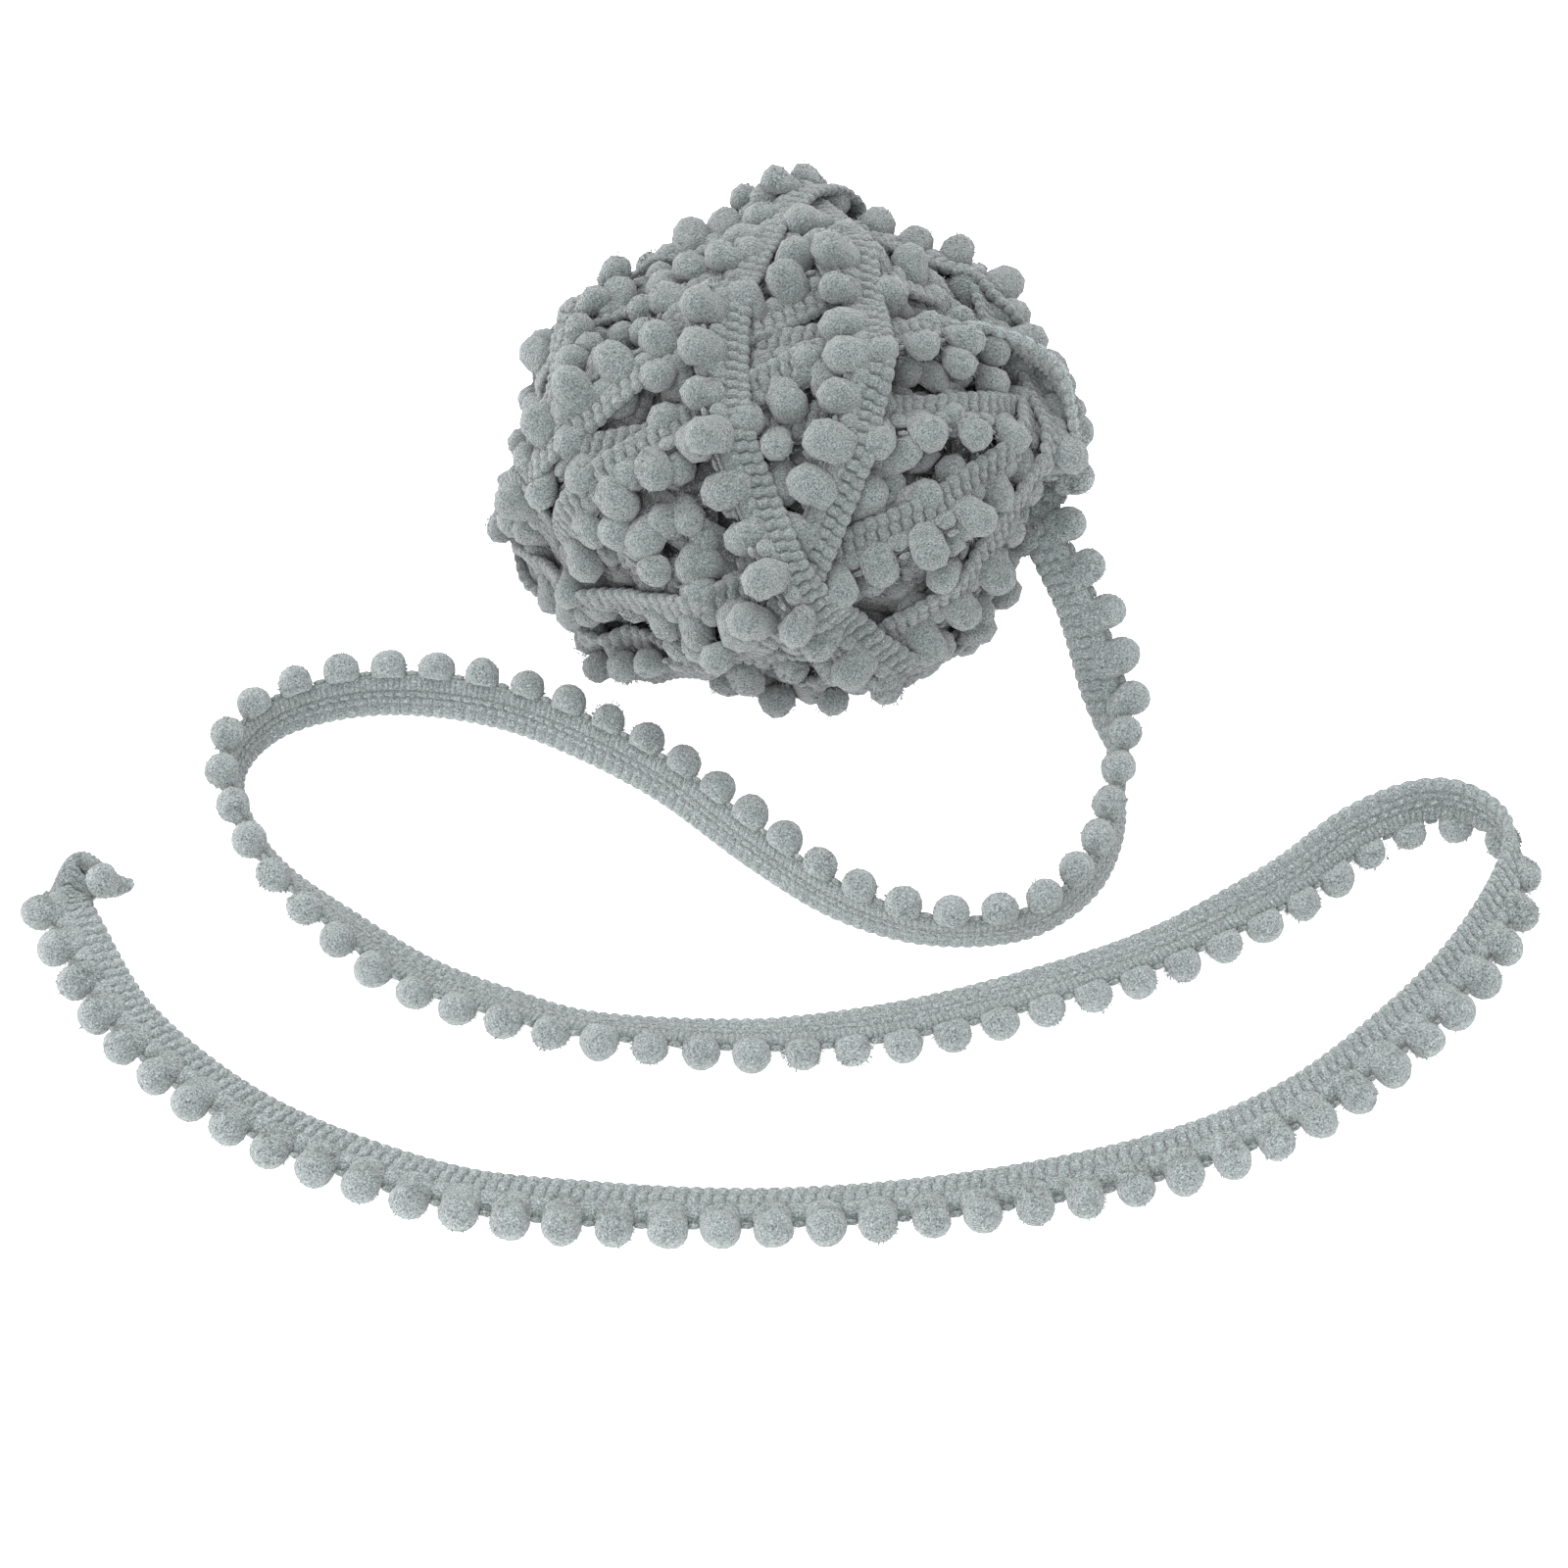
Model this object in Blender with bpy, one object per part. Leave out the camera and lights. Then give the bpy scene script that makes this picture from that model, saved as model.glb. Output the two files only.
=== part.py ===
"""A pompom fringe trim, wound into a loose ball with its free end lying in waves on a surface.

Metres, +Z up. The origin is the middle of the ball's small flat spot, on the surface it rests on.
The trim is a knitted heading tape with a row of pompoms along one edge. The wound length is one
solid of its turns, and the free end is two: the tape, and the pompoms fused along a narrow strip.
"""

import math

import bmesh
import bpy
import numpy as np
from mathutils import Vector

MM = 0.001

# The trim
TRIM_REACH = 8.3 * MM          # from the heading edge to the middle of a pompom
TAPE_WIDTH = 5.2 * MM
TAPE_THICK = 1.6 * MM
STRIP_INNER = 5.5 * MM         # where the strip that carries the pompoms starts, from the heading edge
STRIP_OUTER = 6.3 * MM
POMPOM_RADIUS = 3.0 * MM
POMPOM_REST = 3.15 * MM        # height of a pompom's middle where it lies on the surface
POMPOM_PITCH = 8.0 * MM
NECK_LENGTH = 3.2 * MM         # of strip taken up by the root of one pompom
TAPE_STEP = 3.0 * MM
STRIP_STEP = 4.5 * MM

# The ball
BALL_CORE = 36.4 * MM          # radius of the innermost length, which never shows
BALL_FLATTENING = 0.738        # height over width
BALL_CENTRE_HEIGHT = 35.6 * MM
FLAT_SPOT_DEPTH = 1.9 * MM     # of the underside pressed level by the ball's own weight
FLAT_SPOT_RADIUS = 13.0 * MM   # within which nothing stands clear of the surface
TURN_POINTS = 180
TURN_HALF_WIDTH = 4.6 * MM     # tape to each side of a turn's middle line
POMPOM_SIDE = 4.4 * MM         # from a turn's middle line to its pompoms
TURN_SLACK = 0.40              # 0 is taut, 1 sinks into every hollow
INNER_PACKING = 0.30           # share of its thickness that a turn keeps once others press on it
OUTER_PACKING = 0.85
POMPOM_SPREAD = 1.25           # how much wider a pompom is once it is pressed on the ball
POMPOM_SINK = 0.15             # share of its height that it sinks into what is under it
BALL_DETAIL = 7                # times the ball's mesh is divided before it is shaped
BALL_TRIANGLES = 9600          # once it is shaped
SOFTENING = 1                  # rounds in which a height is evened with those next to it
EXIT_LENGTH = 26.0 * MM        # of the free end runs close by the ball
EXIT_CLEAR = 0.3 * MM          # between it and the turns that give way to it
EXIT_REACH = 2.4 * MM          # how far to each side they do

# Inner turns are spread evenly, each one crossing the one before
INNER_TURNS = 13
INNER_TURN_ANGLE = 137.5

# Outer turns in the order they were wound. The normal points from the tape to its pompoms,
# as an azimuth and an elevation in degrees, and shift moves the turn along it, in ball radii.
OUTER_TURNS = (
    # azimuth, elevation, shift, first pompom (share of a pitch)
    (20, 12, 0.30, 0.1),
    (-150, 25, -0.15, 0.6),
    (65, -28, -0.25, 0.3),
    (-20, 62, 0.05, 0.8),
    (150, -8, 0.32, 0.0),
    (-100, 50, -0.20, 0.5),
    (95, 10, 0.09, 0.2),
    (-82, -30, 0.03, 0.7),
    (-63, -10, 0.13, 0.4),
    (117, 3, 0.10, 0.0),
    (-38, -58, 0.08, 0.5),
    (28, -59, 0.08, 0.1),
    (180, 22, 0.05, 0.9),
    (172, -33, -0.22, 0.3),
    (78, -38, 0.24, 0.6),
)

# Where the ball was wound fuller or slacker than an even one
BALL_SWELLS = (
    # azimuth, elevation, share of the radius
    (110, 32, -0.080),
    (57, 28, 0.060),
    (158, 14, 0.060),
    (14, 9, -0.045),
    (-134, -25, -0.050),
    (-38, -22, -0.020),
)
SWELL_REACH = 24               # degrees from its middle at which a swell has dropped to a third

# The free end, from the ball outwards: points on the line of the pompoms, in millimetres.
# roll turns the tape about its length, in degrees: at 0 the pompoms lie to the left of the way
# it runs, at 90 they stand up, at 180 they lie to the right and at 270 they hang below.
# lift is the height above where the trim would rest by itself.
FREE_END = (
    # x, y, roll, lift
    (47.8, -9.5, 0, 26.0),
    (54.2, -19.5, 6, 15.5),
    (58.6, -28.7, 26, 4.0),
    (57.7, -36.9, 70, 0.2),
    (54.4, -52.3, 101, 0.0),
    (49.4, -66.3, 100, 0.0),
    (39.3, -76.2, 88, 0.0),
    (24.3, -77.7, 87, 0.0),
    (10.0, -71.1, 100, 0.0),
    (-2.9, -59.0, 114, 0.0),
    (-19.7, -42.1, 120, 0.0),
    (-39.2, -29.0, 124, 0.0),
    (-55.7, -23.7, 121, 0.0),
    (-72.2, -23.6, 117, 0.0),
    (-86.4, -29.9, 110, 0.0),
    (-92.7, -41.8, 105, 0.0),
    (-89.0, -55.9, 109, 0.0),
    (-82.6, -67.6, 126, 0.0),
    (-72.3, -78.8, 151, 0.0),
    (-60.1, -88.5, 166, 0.0),
    (-46.2, -95.0, 160, 0.0),
    (-30.7, -100.0, 155, 0.0),
    (-6.2, -101.9, 164, 0.0),
    (17.8, -99.9, 176, 0.0),
    (41.3, -93.0, 178, 0.0),
    (63.8, -83.6, 182, 0.0),
    (83.8, -71.2, 200, 0.0),
    (96.6, -59.9, 218, 0.0),
    (108.6, -54.4, 243, 0.0),
    (118.7, -59.2, 278, 0.0),
    (120.0, -70.0, 308, 0.0),
    (113.2, -84.8, 328, 0.0),
    (101.4, -99.2, 339, 0.0),
    (82.6, -115.6, 347, 0.0),
    (59.9, -126.6, 350, 0.0),
    (30.3, -133.4, 358, 0.0),
    (-1.2, -135.9, 366, 0.0),
    (-31.7, -135.6, 354, 0.0),
    (-55.2, -131.2, 358, 0.0),
    (-83.4, -118.2, 358, 0.0),
    (-105.3, -99.1, 356, 0.0),
    (-117.2, -79.3, 352, 0.0),
    (-120.4, -71.8, 356, 0.3),
    (-119.6, -66.2, 378, 0.3),
    (-116.8, -63.3, 412, 0.0),
    (-113.6, -64.0, 448, 0.0),
    (-110.8, -67.6, 474, 0.0),
    (-108.3, -72.0, 502, 0.0),
)
FREE_END_START = 1.5 * MM      # of that route lies among the ball's own turns
ROUTE_STEP = 0.4 * MM
HEADING_HALF = 0.9 * MM        # half thickness of the beaded heading edge
HEADING_REST = 0.25 * MM       # from its lowest bead to the surface
FIRST_POMPOM = 6.7 * MM        # from the start of the free end
BARE_END = 19.0 * MM           # of the folded tip, which has lost its pompoms but for the last

YARN_COLOUR = (0.33, 0.39, 0.385, 1.0)


def clear_scene():
    for old in list(bpy.data.objects):
        bpy.data.objects.remove(old)


def yarn_material(name, roughness):
    material = bpy.data.materials.new(name)
    material.use_nodes = True
    shader = material.node_tree.nodes["Principled BSDF"]
    shader.inputs["Base Color"].default_value = YARN_COLOUR
    shader.inputs["Roughness"].default_value = roughness
    shader.inputs["Metallic"].default_value = 0.0
    return material


def finish_object(bm, name, material):
    bmesh.ops.recalc_face_normals(bm, faces=bm.faces)
    mesh = bpy.data.meshes.new(name)
    bm.to_mesh(mesh)
    bm.free()
    mesh.shade_smooth()
    mesh.set_sharp_from_angle(angle=math.radians(50))
    mesh.materials.append(material)
    made = bpy.data.objects.new(name, mesh)
    bpy.context.scene.collection.objects.link(made)
    return made


# ---------------------------------------------------------------- the wound ball

def direction(azimuth, elevation):
    azimuth = math.radians(azimuth)
    elevation = math.radians(elevation)
    return np.array((
        math.cos(azimuth) * math.cos(elevation),
        math.sin(azimuth) * math.cos(elevation),
        math.sin(elevation),
    ))


def swelling(ways):
    """The share of its even radius that the ball has in each direction."""
    share = np.ones(len(ways))
    for azimuth, elevation, more in BALL_SWELLS:
        apart = np.degrees(np.arccos(np.clip(ways @ direction(azimuth, elevation), -1, 1)))
        share += more * np.exp(-(apart / SWELL_REACH) ** 2)
    return share


def turn_circle(normal, shift):
    """Directions along one turn, which is a circle about its normal."""
    side = np.cross(normal, (0.0, 0.0, 1.0))
    side /= np.linalg.norm(side)
    other = np.cross(normal, side)
    angle = np.linspace(0, 2 * math.pi, TURN_POINTS, endpoint=False)[:, None]
    ring = math.sqrt(1 - shift ** 2)
    return shift * normal + ring * (np.cos(angle) * side + np.sin(angle) * other)


def pulled_tight(under):
    """The radius along a turn laid over radii under: it touches the high places and spans the low ones."""
    chord = 2 * math.cos(2 * math.pi / len(under))
    radius = np.full(len(under), under.max())
    for _ in range(900):
        span = chord / (1 / np.roll(radius, 1) + 1 / np.roll(radius, -1))
        radius = np.maximum(under, span)
    return radius * (1 - TURN_SLACK) + under * TURN_SLACK


def tape_stand(aside):
    """Share of its thickness that a tape stands at, by the distance from its middle line."""
    return np.clip((TURN_HALF_WIDTH - np.abs(aside)) / (1.0 * MM), 0, 1)


def lay_turn(field, radius, normal, shift, first_pompom, packing):
    """Winds one turn over what is there, raising radius at each direction of the field that it covers."""
    line = turn_circle(normal, shift)
    near = line @ field.T
    mean = radius.mean()
    covered = near > math.cos(TURN_HALF_WIDTH / mean)
    under = np.array([np.percentile(radius[row], 80) for row in covered])
    under = (np.roll(under, 1) + under + np.roll(under, -1)) / 3
    lie = pulled_tight(under)
    nearest = near.argmax(axis=0)
    aside = (np.arcsin(np.clip(field @ normal, -1, 1)) - math.asin(shift)) * mean
    raised = lie[nearest] + tape_stand(aside) * TAPE_THICK * packing
    raised[np.abs(aside) > TURN_HALF_WIDTH] = 0
    np.maximum(radius, raised, out=radius)
    around = 2 * math.pi * mean * math.sqrt(1 - shift ** 2)
    pompoms = round(around / POMPOM_PITCH)
    for k in range(pompoms):
        i = int((k + first_pompom) / pompoms * TURN_POINTS) % TURN_POINTS
        middle = line[i] + normal * (POMPOM_SIDE / mean)
        middle /= np.linalg.norm(middle)
        apart = np.arccos(np.clip(field @ middle, -1, 1)) * mean / (POMPOM_SPREAD * POMPOM_RADIUS)
        inside = apart < 1
        swell = np.maximum(0, 1 - apart[inside] ** 2) ** 0.6
        swollen = lie[i] + 2 * POMPOM_RADIUS * packing * (swell - POMPOM_SINK)
        radius[inside] = np.maximum(radius[inside], swollen)


def wound_radii(field):
    radius = np.full(len(field), BALL_CORE)
    for k in range(INNER_TURNS):
        azimuth = k * INNER_TURN_ANGLE
        elevation = math.degrees(math.asin(1 - 2 * (k + 0.5) / INNER_TURNS))
        lay_turn(field, radius, direction(azimuth, elevation), 0.12 * (-1) ** k, 0.0, INNER_PACKING)
    for azimuth, elevation, shift, phase in OUTER_TURNS:
        lay_turn(field, radius, direction(azimuth, elevation), shift, phase, OUTER_PACKING)
    return radius


def round_place(points):
    """(directions, radii) of points on or near the ball, with its flattening taken out."""
    raised = points - (0.0, 0.0, BALL_CENTRE_HEIGHT)
    raised[:, 2] /= BALL_FLATTENING
    radius = np.linalg.norm(raised, axis=1)
    return raised / radius[:, None], radius


def exit_samples(route):
    """Points over the face of the free end where it leaves the ball."""
    along = np.arange(0.0, EXIT_LENGTH, 1.5 * MM)
    across = np.arange(0.0, TRIM_REACH + POMPOM_RADIUS, 1.5 * MM)
    return np.array([route.place(s, v, 0.0) for s in along for v in across])


def build_ball(route):
    bm = bmesh.new()
    bmesh.ops.create_icosphere(bm, subdivisions=BALL_DETAIL, radius=1.0)
    field = np.array([vert.co.normalized() for vert in bm.verts])
    radius = wound_radii(field)
    edges = np.array([[vert.index for vert in edge.verts] for edge in bm.edges])
    links = np.bincount(edges.ravel(), minlength=len(field))
    for _ in range(SOFTENING):
        total = np.bincount(edges[:, 0], radius[edges[:, 1]], len(field))
        total += np.bincount(edges[:, 1], radius[edges[:, 0]], len(field))
        radius = (radius + total / links) / 2
    radius *= swelling(field)
    exit_ways, exit_radii = round_place(exit_samples(route))
    limit = exit_radii - TAPE_THICK / 2 - EXIT_CLEAR
    for way, most in zip(exit_ways, limit):
        close = field @ way > math.cos(EXIT_REACH / BALL_CORE)
        radius[close] = np.minimum(radius[close], most)
    for vert, outward, reach in zip(bm.verts, field, radius):
        point = Vector(outward * reach)
        point.z = point.z * BALL_FLATTENING + BALL_CENTRE_HEIGHT
        under = outward[2] < 0 and math.hypot(point.x, point.y) < FLAT_SPOT_RADIUS
        if under or point.z < FLAT_SPOT_DEPTH:
            point.z = 0.0
        vert.co = point
    return thinned(bm, "wound_ball", yarn_material("wound_yarn", 0.95))


def thinned(bm, name, material):
    """The object with its mesh thinned where the surface is plain, and its flat spot kept level."""
    obj = finish_object(bm, name, material)
    thin = obj.modifiers.new("Thin", "DECIMATE")
    thin.ratio = BALL_TRIANGLES / len(obj.data.polygons)
    graph = bpy.context.evaluated_depsgraph_get()
    mesh = bpy.data.meshes.new_from_object(obj.evaluated_get(graph))
    for vert in mesh.vertices:
        if vert.co.z < FLAT_SPOT_DEPTH / 2:
            vert.co.z = 0.0
    obj.modifiers.clear()
    obj.data = mesh
    return obj


# ---------------------------------------------------------------- the free end

def smooth_through(rows, share):
    """Catmull-Rom through the rows: share counts rows, so 2.5 is midway between the third and fourth."""
    last = len(rows) - 1
    first = np.clip(np.floor(share).astype(int), 0, last - 1)
    t = (share - first)[:, None]
    before = rows[np.maximum(first - 1, 0)]
    start = rows[first]
    end = rows[first + 1]
    after = rows[np.minimum(first + 2, last)]
    return 0.5 * (
        2 * start
        + (end - before) * t
        + (2 * before - 5 * start + 4 * end - after) * t ** 2
        + (3 * start - before - 3 * end + after) * t ** 3
    )


def free_end_route():
    """(lengths, points, roll) closely spaced along the line of the pompoms, from the ball outwards."""
    rows = np.array(FREE_END, float)
    fine = smooth_through(rows, np.linspace(0, len(rows) - 1, 6000))
    roll = np.radians(fine[:, 2])
    heading = HEADING_REST + HEADING_HALF * np.abs(np.cos(roll)) + TRIM_REACH * np.sin(roll)
    rest = np.maximum(POMPOM_REST, heading)
    points = np.stack((fine[:, 0] * MM, fine[:, 1] * MM, rest + fine[:, 3] * MM), axis=1)
    step = np.linalg.norm(np.diff(points, axis=0), axis=1)
    length = np.concatenate(([0.0], np.cumsum(step)))
    even = np.arange(FREE_END_START, length[-1], ROUTE_STEP)
    points = np.stack([np.interp(even, length, points[:, k]) for k in range(3)], axis=1)
    for _ in range(6):
        points[1:-1] = (points[:-2] + 2 * points[1:-1] + points[2:]) / 4
    return even - FREE_END_START, points, np.interp(even, length, roll)


class Route:
    """Places points of the trim: along its length, across it from the heading edge, and off its face."""

    def __init__(self):
        self.length, self.points, roll = free_end_route()
        ahead = np.gradient(self.points, axis=0)
        ahead /= np.linalg.norm(ahead, axis=1, keepdims=True)
        left = np.cross((0.0, 0.0, 1.0), ahead)
        left /= np.linalg.norm(left, axis=1, keepdims=True)
        above = np.cross(ahead, left)
        self.across = np.cos(roll)[:, None] * left + np.sin(roll)[:, None] * above
        self.off = np.cross(ahead, self.across)
        self.ahead = ahead
        self.end = self.length[-1]

    def place(self, along, across, off, ahead=0.0):
        def at(values):
            return np.array([np.interp(along, self.length, values[:, k]) for k in range(3)])

        point = at(self.points) + at(self.across) * (across - TRIM_REACH)
        return Vector(point + at(self.off) * off + at(self.ahead) * ahead)


def ring_of(bm, route, along, inner, outer, thick):
    corners = ((inner, -thick / 2), (outer, -thick / 2), (outer, thick / 2), (inner, thick / 2))
    return [bm.verts.new(route.place(along, across, off)) for across, off in corners]


def swept_strip(bm, route, stations, inner, outer, thick):
    """A closed bar of four sides through the stations. Returns the faces of its outer side, in order."""
    rings = [ring_of(bm, route, along, inner, outer, thick) for along in stations]
    outer_faces = []
    for here, there in zip(rings, rings[1:]):
        for k in range(4):
            after = (k + 1) % 4
            face = bm.faces.new((here[k], here[after], there[after], there[k]))
            if k == 1:
                outer_faces.append(face)
    bm.faces.new(rings[0])
    bm.faces.new(reversed(rings[-1]))
    return outer_faces


def build_tape(route):
    bm = bmesh.new()
    count = round(route.end / TAPE_STEP)
    stations = np.linspace(0.0, route.end, count + 1)
    swept_strip(bm, route, stations, 0.0, TAPE_WIDTH, TAPE_THICK)
    return finish_object(bm, "heading_tape", yarn_material("tape_yarn", 0.9))


def grow_pompom(bm, route, face, along):
    """Extrudes one pompom of four sides out of its root face on the strip."""
    sections = (
        # across from the pompom's middle, half length, half thickness, all in radii
        (-0.35, 0.86, 0.90),
        (0.15, 0.94, 1.00),
        (0.66, 0.70, 0.72),
        (1.00, 0.30, 0.32),
    )
    for across, half_length, half_thick in sections:
        grown = bmesh.ops.extrude_discrete_faces(bm, faces=[face])
        face = grown["faces"][0]
        middle = face.calc_center_median()
        back = route.place(along, 0.0, 0.0, -1.0)
        under = route.place(along, 0.0, -1.0)
        origin = route.place(along, 0.0, 0.0)
        for vert in face.verts:
            way = vert.co - middle
            ahead_sign = -1 if way.dot(back - origin) > 0 else 1
            off_sign = -1 if way.dot(under - origin) > 0 else 1
            vert.co = route.place(
                along,
                TRIM_REACH + across * POMPOM_RADIUS,
                off_sign * half_thick * POMPOM_RADIUS,
                ahead_sign * half_length * POMPOM_RADIUS,
            )


def pompom_places(route):
    """Lengths at which the pompoms sit along the free end."""
    even = np.arange(FIRST_POMPOM, route.end - BARE_END, POMPOM_PITCH)
    return np.append(even, route.end - POMPOM_RADIUS)


def build_fringe(route):
    bm = bmesh.new()
    middles = pompom_places(route)
    stations = [0.0]
    roots = []
    for middle in middles:
        root = middle - NECK_LENGTH / 2
        stations += list(np.arange(stations[-1] + STRIP_STEP, root - TAPE_STEP, STRIP_STEP))
        roots.append(len(stations))
        stations += [root, root + NECK_LENGTH]
    stations.append(route.end)
    faces = swept_strip(bm, route, stations, STRIP_INNER, STRIP_OUTER, TAPE_THICK)
    for middle, root in zip(middles, roots):
        grow_pompom(bm, route, faces[root], middle)
    return finish_object(bm, "pompom_fringe", yarn_material("pompom_yarn", 1.0))


def main():
    clear_scene()
    route = Route()
    build_ball(route)
    build_tape(route)
    build_fringe(route)


main()
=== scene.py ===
import math

import bmesh
import bpy
import numpy as np
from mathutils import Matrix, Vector


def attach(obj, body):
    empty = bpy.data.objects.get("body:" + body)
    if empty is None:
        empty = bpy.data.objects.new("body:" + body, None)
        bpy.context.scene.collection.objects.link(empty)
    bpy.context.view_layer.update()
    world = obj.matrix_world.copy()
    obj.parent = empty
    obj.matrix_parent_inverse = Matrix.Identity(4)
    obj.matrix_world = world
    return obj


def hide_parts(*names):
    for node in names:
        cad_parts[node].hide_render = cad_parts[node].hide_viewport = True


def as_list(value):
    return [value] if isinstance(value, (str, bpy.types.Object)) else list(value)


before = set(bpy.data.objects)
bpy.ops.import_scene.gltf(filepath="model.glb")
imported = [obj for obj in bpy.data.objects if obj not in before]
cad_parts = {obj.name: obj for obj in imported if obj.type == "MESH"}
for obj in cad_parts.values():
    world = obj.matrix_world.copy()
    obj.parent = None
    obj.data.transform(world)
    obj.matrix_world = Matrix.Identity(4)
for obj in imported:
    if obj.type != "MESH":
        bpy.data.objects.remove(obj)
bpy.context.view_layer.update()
scene = bpy.context.scene
mm = 0.001

# the trim, in millimetres; places across it are measured from its beaded heading edge
trim = {
    "pompomPitch": 8.0,
    "pompomRadius": 3.0,
    "pompomLine": 8.3,
    "stitchesPerPompom": 4,
    "headingHalf": 0.9,
    "headingRest": 0.25,
    "pompomRest": 3.15,
}


# a route carries the trim: its points run along one line of it, origin millimetres from the heading edge
def makeRoute(points, across, closed, origin, outward=None):
    if closed:
        ahead = np.roll(points, -1, 0) - np.roll(points, 1, 0)
        points = np.vstack((points, points[:1]))
        ahead = np.vstack((ahead, ahead[:1]))
        across = np.vstack((across, across[:1]))
    else:
        ahead = np.gradient(points, axis=0)
    ahead = ahead / np.linalg.norm(ahead, axis=1, keepdims=True)
    across = across - ahead * (across * ahead).sum(1, keepdims=True)
    across = across / np.linalg.norm(across, axis=1, keepdims=True)
    off = np.cross(ahead, across)
    if outward is not None and (off[:-1] * outward).sum() < 0:
        off = -off
    length = np.concatenate(([0.0], np.cumsum(np.linalg.norm(np.diff(points, axis=0), axis=1))))
    return {"points": points, "ahead": ahead, "across": across, "off": off, "length": length,
            "total": length[-1], "closed": closed, "origin": origin}


def valuesAlong(route, name, s):
    s = s % route["total"] if route["closed"] else np.clip(s, 0, route["total"])
    return np.stack([np.interp(s, route["length"], route[name][:, k]) for k in range(3)], axis=1)


def placeOn(route, s, across, off):
    sideways = valuesAlong(route, "across", s) * ((across - route["origin"]) * mm)[:, None]
    return valuesAlong(route, "points", s) + sideways + valuesAlong(route, "off", s) * (off * mm)[:, None]


# the free end, from the ball outwards
freeEnd = {
    "start": 1.5,  # pompoms are counted from this far past the route's first place
    "firstPompom": 6.7,
    "bareEnd": 19.0,  # where the fold leaves no room for pompoms but the last
    "samples": 6600,
    "step": 0.4,
    "evenings": 6,
    "pressed": 0.3,  # what lies lower than this is pressed level
    # how it comes down the ball's side before it leaves: x, y, roll, lift as below
    "downBall": (
        (22, 8, -52, 52), (34, 6, -60, 52), (43.6, 3.2, -62, 47.5), (48.4, -1.5, -58, 39.5),
        (49, -5.4, -36, 32),
    ),
    # x, y, roll in degrees (0 pompoms to the left, 90 up, 180 right, 270 below), lift off the floor
    "route": (
        (47.8, -9.5, 0, 26), (54.2, -19.5, 6, 15.5), (58.6, -28.7, 26, 4), (57.7, -36.9, 70, 0.2),
        (54.4, -52.3, 101, 0), (49.4, -66.3, 100, 0), (39.3, -76.2, 88, 0), (24.3, -77.7, 87, 0),
        (10, -71.1, 100, 0), (-2.9, -59, 114, 0), (-19.7, -42.1, 120, 0), (-39.2, -29, 124, 0),
        (-55.7, -23.7, 121, 0), (-72.2, -23.6, 117, 0), (-86.4, -29.9, 110, 0), (-92.7, -41.8, 105, 0),
        (-89, -55.9, 109, 0), (-82.6, -67.6, 126, 0), (-72.3, -78.8, 151, 0), (-60.1, -88.5, 166, 0),
        (-46.2, -95, 160, 0), (-30.7, -100, 155, 0), (-6.2, -101.9, 164, 0), (17.8, -99.9, 176, 0),
        (41.3, -93, 178, 0), (63.8, -83.6, 182, 0), (83.8, -71.2, 200, 0), (96.6, -59.9, 218, 0),
        (108.6, -54.4, 243, 0), (118.7, -59.2, 278, 0), (120, -70, 308, 0), (113.2, -84.8, 328, 0),
        (101.4, -99.2, 339, 0), (82.6, -115.6, 347, 0), (59.9, -126.6, 350, 0), (30.3, -133.4, 358, 0),
        (-1.2, -135.9, 366, 0), (-31.7, -135.6, 354, 0), (-55.2, -131.2, 358, 0), (-83.4, -118.2, 358, 0),
        (-105.3, -99.1, 356, 0), (-117.2, -79.3, 352, 0), (-120.4, -71.8, 356, 0.3),
        (-119.6, -66.2, 378, 0.3), (-116.8, -63.3, 412, 0), (-113.6, -64, 448, 0), (-110.8, -67.6, 474, 0),
        (-108.3, -72, 502, 0),
    ),
}


def smoothThrough(rows, share):
    last = len(rows) - 1
    first = np.clip(np.floor(share).astype(int), 0, last - 1)
    t = (share - first)[:, None]
    before, start = rows[np.maximum(first - 1, 0)], rows[first]
    end, after = rows[first + 1], rows[np.minimum(first + 2, last)]
    return 0.5 * (2 * start + (end - before) * t + (2 * before - 5 * start + 4 * end - after) * t ** 2
                  + (3 * start - before - 3 * end + after) * t ** 3)


def freeEndRoute():
    rows = np.array(freeEnd["downBall"] + freeEnd["route"], float)
    shares = np.linspace(0, len(rows) - 1, freeEnd["samples"])
    fine = smoothThrough(rows, shares)
    roll = np.radians(fine[:, 2])
    heading = trim["headingRest"] + trim["headingHalf"] * np.abs(np.cos(roll))
    rest = np.maximum(trim["pompomRest"], heading + trim["pompomLine"] * np.sin(roll))
    points = np.stack((fine[:, 0], fine[:, 1], rest + fine[:, 3]), axis=1) * mm
    length = np.concatenate(([0.0], np.cumsum(np.linalg.norm(np.diff(points, axis=0), axis=1))))
    leaves = np.interp(len(freeEnd["downBall"]), shares, length)
    even = np.arange(0, length[-1], freeEnd["step"] * mm)
    points = np.stack([np.interp(even, length, points[:, k]) for k in range(3)], axis=1)
    for _ in range(freeEnd["evenings"]):
        points[1:-1] = (points[:-2] + 2 * points[1:-1] + points[2:]) / 4
    roll = np.interp(even, length, roll)[:, None]
    ahead = np.gradient(points, axis=0)
    ahead /= np.linalg.norm(ahead, axis=1, keepdims=True)
    left = np.cross((0.0, 0.0, 1.0), ahead)
    left /= np.linalg.norm(left, axis=1, keepdims=True)
    across = np.cos(roll) * left + np.sin(roll) * np.cross(ahead, left)
    return makeRoute(points, across, False, trim["pompomLine"]), leaves + freeEnd["start"] * mm


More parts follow.
